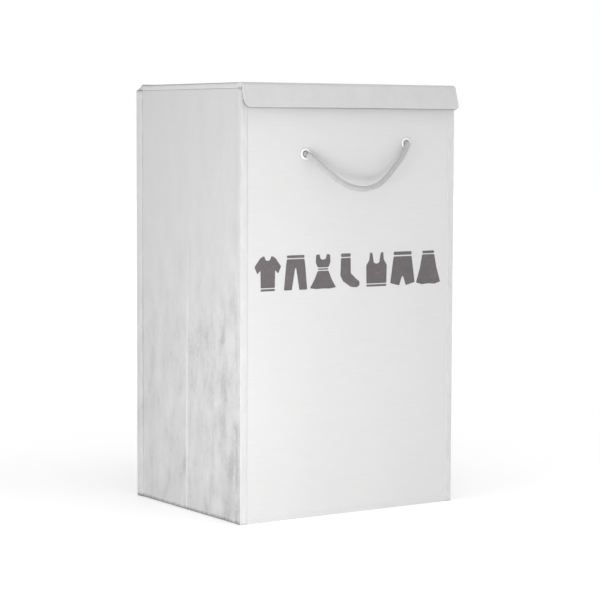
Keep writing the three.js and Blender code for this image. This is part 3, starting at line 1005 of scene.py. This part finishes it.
def on_flap(points):
    """Places (u, v, n) on the flap: v is 0 at its top; above that it goes round the fold and back over the lid.
    The flap flares a little at its lower right corner."""
    u, v, n = points.T
    angle = FLAP_LEAN + np.clip(v / FOLD_RADIUS, 0, FOLD_TURN)
    over = np.maximum(v - FOLD_LENGTH, 0)
    lift = 0.55 * MM * smooth_step(over, 0, 2 * MM)
    reach = FLAP_OUT + n + lift
    below = np.minimum(v, 0)
    y = FOLD_AXIS[0] - np.cos(angle) * reach + math.sin(FLAP_LEAN) * below + over
    z = FOLD_AXIS[1] + np.sin(angle) * reach + math.cos(FLAP_LEAN) * below
    flare = 2 * MM * smooth_step(u, LID_HALF - 30 * MM, LID_HALF) * smooth_step(-v, 0, FLAP_HEIGHT)
    return np.column_stack([u + flare + np.sign(u) * lift * (np.abs(u) > LID_HALF - 3 * MM), y, z])


def flap_relief(u, v):
    """Height of the flap: low waves, and a seam along its lower edge and ends, fading round the fold."""
    height = 0.35 * MM * layered_noise(u, v, (90, 60), 101, 2)
    height += 0.16 * MM * puckers(v + FLAP_HEIGHT - 4 * MM, u, 7 * MM, 103)
    edge = np.minimum(LID_HALF - np.abs(u), v + FLAP_HEIGHT)
    height -= 0.25 * MM * bell(edge - 5 * MM, 1.3 * MM)
    return height * (1 - 0.8 * smooth_step(v, 0, FOLD_LENGTH))


def make_flap():
    """The flap's cloth is one piece with the fold cloth, and is sewn down on the lid."""
    rise, rounding = FOLD_LENGTH + FLAP_OVERLAP, 1.2 * MM
    vs = np.concatenate([stations(-FLAP_HEIGHT + rounding, -2 * MM, 2 * MM), stations(-1 * MM, rise, 1 * MM)])
    cover = make_tray("flap_cloth", VELVET, on_flap, (-LID_HALF, LID_HALF), (-FLAP_HEIGHT, rise), FLAP_THICKNESS,
                      flap_relief, 0.3 * MM, 7, corners=[(-1, -1, 9 * MM), (1, -1, 5 * MM)], turned_in=4 * MM,
                      step=2 * MM, rounding=rounding, open_top=True, vs=vs)
    end = on_flap(np.array([[0, 0, FLAP_THICKNESS]]))[0]
    finish_bend(cover, ("lid", "flap"), (0, FOLD_AXIS[0] + 1 * MM, LID_TOP), tuple(end), "side_cloth",
                "flap_cover", "flap_crease_cloth")
    make_inner_cloth("flap", (-FLAP_HEIGHT, 0), 3 * MM, on_flap,
                     lambda u, v: 0.95 * MM + 0.1 * MM * layered_noise(u, v, (30, 20), 105, 2))


make_lid()
make_hinge()
make_fold_lining()
make_flap()

# ---------------- dark cords: a painted shadow line under the flap, and a cord round the lid


def three_sides(half, end, far, radius, step=1.2 * MM):
    """A flat line from one end across to the far edge, along it, and back to the other end."""
    return bend_path([(-half, end), (-half, far), (half, far), (half, end)], radius, step)


def at_height(route, height):
    return np.column_stack([route, np.broadcast_to(height, len(route))])


def cord_along(line, radius, sides=8):
    """(vertices, faces) of a thin plain cord along a line."""
    tangent = unit(np.gradient(line, axis=0))
    first = unit(np.cross(tangent, (0.03, 0.05, 1.0)))
    return tube(line, first, np.cross(first, tangent), radius, 2 * math.pi * np.arange(sides) / sides)


def make_dark_cord():
    """A dark cord along the flap's lower edge, put there as a painted shadow line under the flap, and a fine grey
    cord round the lid's upper edge.
    """
    flap = three_sides(LID_HALF + 0.1 * MM, -FLAP_HEIGHT + 10 * MM, -FLAP_HEIGHT - 0.5 * MM, 9 * MM, GRID)
    lid = three_sides(LID_HALF - 0.4 * MM, -HALF_DEPTH + 1 * MM, LID_BACK - 0.4 * MM, 4 * MM, GRID)
    for body, line, radius in (("flap", on_flap(at_height(flap, 1.6 * MM)), 1.0 * MM),
                               ("lid", at_height(lid, LID_TOP - 0.6 * MM), 0.75 * MM)):
        finish_piece(joined(f"{body}_dark_cord", [cord_along(line, radius)], DARK_CORD), body, "side_cloth")


make_dark_cord()

# ---------------- floor of the hamper


def make_floor_cloth(name, node, material, slot, step, relief, seed):
    low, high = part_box(node)
    us, vs = stations(low.x, high.x, step), stations(low.y, high.y, step)
    u, v = grid_points(us, vs)
    edge = np.minimum(np.minimum(u - low.x, high.x - u), np.minimum(v - low.y, high.y - v))
    z = high.z + relief * layered_noise(u, v, (70, 60), seed) - 0.4 * relief * np.exp(-edge / (2 * MM))
    faces = [(a, d, c, b) for a, b, c, d in grid_faces(len(us), len(vs))]
    made = make_object(name, np.column_stack([u, v, z]), faces, material)
    thicken(made, high.z - low.z)
    finish_piece(made, "back", slot, node)
    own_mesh(made)


make_floor_cloth("bottom_cloth", "floor_cloth", VELVET, "side_cloth", 6 * MM, 0.0, 111)
make_floor_cloth("bottom_mat", "floor_mat", FELT, "mat", 4 * MM, 0.5 * MM, 113)

# ---------------- stitching


def stitch_parts(line, outwards, length=2.3 * MM, gap=1.0 * MM, radius=0.22 * MM, sides=6):
    """Short thread stitches along a line, raised outwards: (vertices, faces) of each."""
    shape = [(-0.5, 0.15), (-0.3, 0.85), (0, 1.0), (0.3, 0.85), (0.5, 0.15)]
    faces = grid_faces(len(shape), sides, closed=True)
    faces += [tuple(range(sides))[::-1], tuple(range((len(shape) - 1) * sides, len(shape) * sides))]
    starts = np.arange(gap, line_length(line) - length - gap, length + gap)
    parts = []
    for start, end in zip(points_at(line, starts), points_at(line, starts + length)):
        middle, run = (start + end) / 2, end - start
        across = unit(np.cross(run, outwards))
        points = []
        for t, share in shape:
            centre = middle + run * t - outwards * radius * 0.9 * (abs(t) * 2) ** 2
            for a in 2 * math.pi * np.arange(sides) / sides:
                points.append(centre + radius * share * (math.cos(a) * across + math.sin(a) * outwards))
        parts.append((np.array(points), faces))
    return parts


def upright_line(x, y):
    return np.array([(x, y, z) for z in stations(4 * MM, WALL_TOP - 4 * MM, 20 * MM)])


def level_line(half, y, z):
    return np.array([(x, y, z) for x in stations(-half, half, 20 * MM)])


def make_stitches():
    """Running stitches: along the corner tape, the side bands, the hems, the hinge band, the flap and the lid."""
    groups = {body: [] for body in ("front", "back", "left_rear", "right_rear", "flap", "lid")}

    def sew(body, line, *outwards):
        groups[body] += stitch_parts(line, np.array(outwards, float))

    for end in (-1, 1):
        for inset in (1.6 * MM, TAPE_WIDTH - 0.2 * MM):
            for wall, face in (("front", -1), ("back", 1)):
                x, y = end * (HALF_WIDTH + TAPE_OUT - inset), face * (HALF_DEPTH + TAPE_OUT)
                sew(wall, upright_line(x, y), 0, face, 0)
    for side, sign in SIDES:
        for inset in (8.5 * MM, 13.6 * MM):
            sew(f"{side}_rear", upright_line(sign * (HALF_WIDTH + TAPE_OUT), HALF_DEPTH - inset), sign, 0, 0)
    for wall, face in (("front", -1), ("back", 1)):
        sew(wall, level_line(HALF_WIDTH - 12 * MM, face * (HALF_DEPTH + 0.1 * MM), 6 * MM), 0, face, 0)
    hinge_low, hinge_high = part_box("lid_hinge_cloth")
    for up in (2 * MM, 8 * MM):
        sew("back", level_line(hinge_high.x - 3 * MM, hinge_high.y, hinge_low.z + up), 0, 1, 0)
    proud, inset = 0.05 * MM, 5 * MM
    route = three_sides(LID_HALF - inset, -2.5 * MM, -FLAP_HEIGHT + inset, 6 * MM)
    height = FLAP_THICKNESS + flap_relief(*route.T) + proud
    sew("flap", on_flap(at_height(route, height)), 0, -math.cos(FLAP_LEAN), math.sin(FLAP_LEAN))
    sewn = FOLD_LENGTH + FLAP_OVERLAP - 2 * MM
    sew("lid", on_flap(level_line(LID_HALF - 3 * MM, sewn, FLAP_THICKNESS + 0.1 * MM)), 0, 0, 1)
    route = three_sides(LID_HALF - inset, -HALF_DEPTH + 6 * MM, LID_BACK - 6 * MM, 5 * MM)
    sew("lid", at_height(route, LID_TOP + lid_relief(*route.T) + proud), 0, 0, 1)
    for body, parts in groups.items():
        finish_piece(joined(f"{body}_stitches", parts, THREAD), body, "tape")


make_stitches()

# ---------------- the row of pictograms


def mirrored(*half):
    """A closed outline from its right half, given from top to bottom."""
    return list(half) + [(-x, y) for x, y in reversed(half) if x]


def band(half_width, low, high):
    return mirrored((half_width, high), (half_width, low))


SHIRT = [mirrored((0, 0.84), (0.09, 0.86), (0.17, 0.98), (0.34, 0.92), (0.6, 0.68), (0.47, 0.48), (0.33, 0.58),
                  (0.32, 0.09), (0, 0.09)), band(0.32, 0.0, 0.06)]
TROUSERS = [band(0.3, 0.92, 1.0),
            mirrored((0, 0.89), (0.3, 0.89), (0.33, 0.7), (0.4, 0), (0.13, 0), (0.02, 0.62), (0, 0.63))]
DRESS = [mirrored((0, 0.84), (0.09, 0.86), (0.13, 1.0), (0.25, 0.98), (0.26, 0.76), (0.19, 0.62), (0, 0.62)),
         band(0.18, 0.55, 0.59), mirrored((0, 0.52), (0.19, 0.52), (0.3, 0.28), (0.46, 0.03), (0.24, 0), (0, 0.01))]
SOCK = [[(-0.19, 1.0), (0.15, 1.0), (0.15, 0.9), (-0.19, 0.9)],
        [(-0.19, 0.87), (0.15, 0.87), (0.16, 0.42), (0.34, 0.26), (0.47, 0.17), (0.47, 0.05), (0.36, 0),
         (0.16, 0.02), (-0.12, 0.2), (-0.21, 0.36)]]
VEST = [mirrored((0, 0.66), (0.1, 0.7), (0.15, 0.98), (0.24, 1.0), (0.26, 0.78), (0.37, 0.62), (0.36, 0.09),
                 (0, 0.09)), band(0.36, 0.0, 0.06)]
SHORTS = [band(0.38, 0.9, 1.0),
          mirrored((0, 0.86), (0.38, 0.86), (0.43, 0.6), (0.52, 0.08), (0.14, 0), (0.03, 0.26), (0, 0.27))]
SKIRT = [band(0.24, 0.92, 1.0), mirrored((0, 0.89), (0.25, 0.89), (0.34, 0.5), (0.5, 0.06), (0.26, 0), (0, 0.02))]
GARMENTS = [SHIRT, TROUSERS, DRESS, SOCK, VEST, SHORTS, SKIRT]
PRINT_WIDTH = 319 * MM
PRINT_BOTTOM = 318.5 * MM
PRINT_HEIGHT = 48 * MM
PRINT_PROUD = 0.14 * MM
PRINT_THICKNESS = 0.12 * MM


def soften(outline, radius=0.03):
    """An outline with its corners slightly rounded."""
    points = np.array(outline, float)
    made = []
    for before, corner, after in zip(np.roll(points, 1, 0), points, np.roll(points, -1, 0)):
        steps = []
        for other in (before, after):
            long = np.linalg.norm(other - corner)
            steps.append((other - corner) * (min(radius, long * 0.4) / long))
        made += rounded_corner(corner, *steps, (0, 0.25, 0.5, 0.75, 1))
    return np.array(made)


def make_print():
    """Seven garments in ink, cut into small cells that follow the front cloth."""
    pitch = PRINT_WIDTH / len(GARMENTS)
    mesh = bmesh.new()
    for k, garment in enumerate(GARMENTS):
        middle = -PRINT_WIDTH / 2 + pitch * (k + 0.5)
        pieces = [soften(outline) for outline in garment]
        low, high = np.vstack(pieces).min(0), np.vstack(pieces).max(0)
        scale = min(PRINT_HEIGHT, (pitch - 3 * MM) / (high[0] - low[0]))
        for piece in pieces:
            x = middle + (piece[:, 0] - (low[0] + high[0]) / 2) * scale
            z = PRINT_BOTTOM + (piece[:, 1] - low[1]) / (high[1] - low[1]) * PRINT_HEIGHT
            mesh.faces.new([mesh.verts.new((a, 0, b)) for a, b in zip(x, z)])
    cuts = [((x, 0, 0), (1, 0, 0)) for x in stations(-PRINT_WIDTH / 2, PRINT_WIDTH / 2, GRID)]
    cuts += [((0, 0, z), (0, 0, 1)) for z in stations(PRINT_BOTTOM, PRINT_BOTTOM + PRINT_HEIGHT, GRID)[1:-1]]
    for point, normal in cuts:
        bmesh.ops.bisect_plane(mesh, geom=mesh.verts[:] + mesh.edges[:] + mesh.faces[:], dist=1e-6,
                               plane_co=point, plane_no=normal)
    co = np.array([v.co for v in mesh.verts])
    height = HALF_DEPTH + PRINT_PROUD + FRONT_RELIEF(co[:, 0], co[:, 2])
    for vertex, y in zip(mesh.verts, height):
        vertex.co.y = -y
    bmesh.ops.triangulate(mesh, faces=[f for f in mesh.faces if len(f.verts) > 4])
    bmesh.ops.recalc_face_normals(mesh, faces=mesh.faces[:])
    data = bpy.data.meshes.new("garment_print")
    mesh.to_mesh(data)
    mesh.free()
    data.materials.append(INK)
    for polygon in data.polygons:
        if polygon.normal.y > 0:
            polygon.flip()
    made = link_object("garment_print", data)
    thicken(made, PRINT_THICKNESS, even=False)
    finish_piece(made, "front", "print")


make_print()

# ---------------- boards keep their CAD shape

for name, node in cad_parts.items():
    if name.endswith("_board"):
        node.data.materials.clear()
        node.data.materials.append(CARD)

# ---------------- studio

WORLD_LIGHT = 0.75
BACKDROP_LIGHT = 1.0
FLOOR_GLOW = (0.20, 0.36)
FLOOR_CORNERS = [(-9, -9, 0), (9, -9, 0), (9, 12, 0), (-9, 12, 0)]


def make_floor():
    """A pale floor that brightens far away, so that it runs into the backdrop."""
    n = Nodes("studio_floor")
    colour = n.shade(n.noise(3, 2), grey(0.93), grey(0.95))
    distance = n.add("ShaderNodeVectorMath", {0: n.place}, operation="LENGTH").outputs["Value"]
    material = n.finish(color=colour, roughness=0.9, specular=0.1, emission_color=(1, 1, 1, 1),
                        emission_strength=n.map_range(distance, (0.4, 2.4), FLOOR_GLOW))
    make_object("studio_floor", FLOOR_CORNERS, [(0, 1, 2, 3)], material, smooth=False)


def make_light(name, place, target, size, power):
    data = bpy.data.lights.new(name, "AREA")
    data.shape = "DISK"
    data.size = size
    data.energy = power
    light = link_object(name, data)
    light.visible_camera = False
    light.location = place
    light.rotation_euler = (Vector(target) - Vector(place)).to_track_quat("-Z", "Y").to_euler()


def make_world():
    """White all round: brighter where the camera sees it than as a light."""
    world = bpy.data.worlds.new("studio")
    world.use_nodes = True
    nodes, links = world.node_tree.nodes, world.node_tree.links
    mix = nodes.new("ShaderNodeMixShader")
    backdrop = nodes.new("ShaderNodeBackground")
    for background, strength, socket in ((nodes["Background"], WORLD_LIGHT, 1), (backdrop, BACKDROP_LIGHT, 2)):
        background.inputs["Color"].default_value = (1, 1, 1, 1)
        background.inputs["Strength"].default_value = strength
        links.new(background.outputs[0], mix.inputs[socket])
    links.new(nodes.new("ShaderNodeLightPath").outputs["Is Camera Ray"], mix.inputs["Fac"])
    links.new(mix.outputs[0], nodes["World Output"].inputs["Surface"])
    SCENE.world = world


make_floor()
make_light("key_left", (-0.50, -0.80, 0.07), (0, -0.14, 0.16), 0.20, 1.8)
make_light("grazing_left", (-0.86, -0.50, 0.28), (0.0, -0.14, 0.28), 0.20, 1.7)
make_light("fill_above", (0.25, -0.55, 2.1), (0, -0.1, 0.5), 1.2, 5.5)
make_world()
SCENE.view_settings.view_transform = "Standard"
SCENE.view_settings.look = "None"
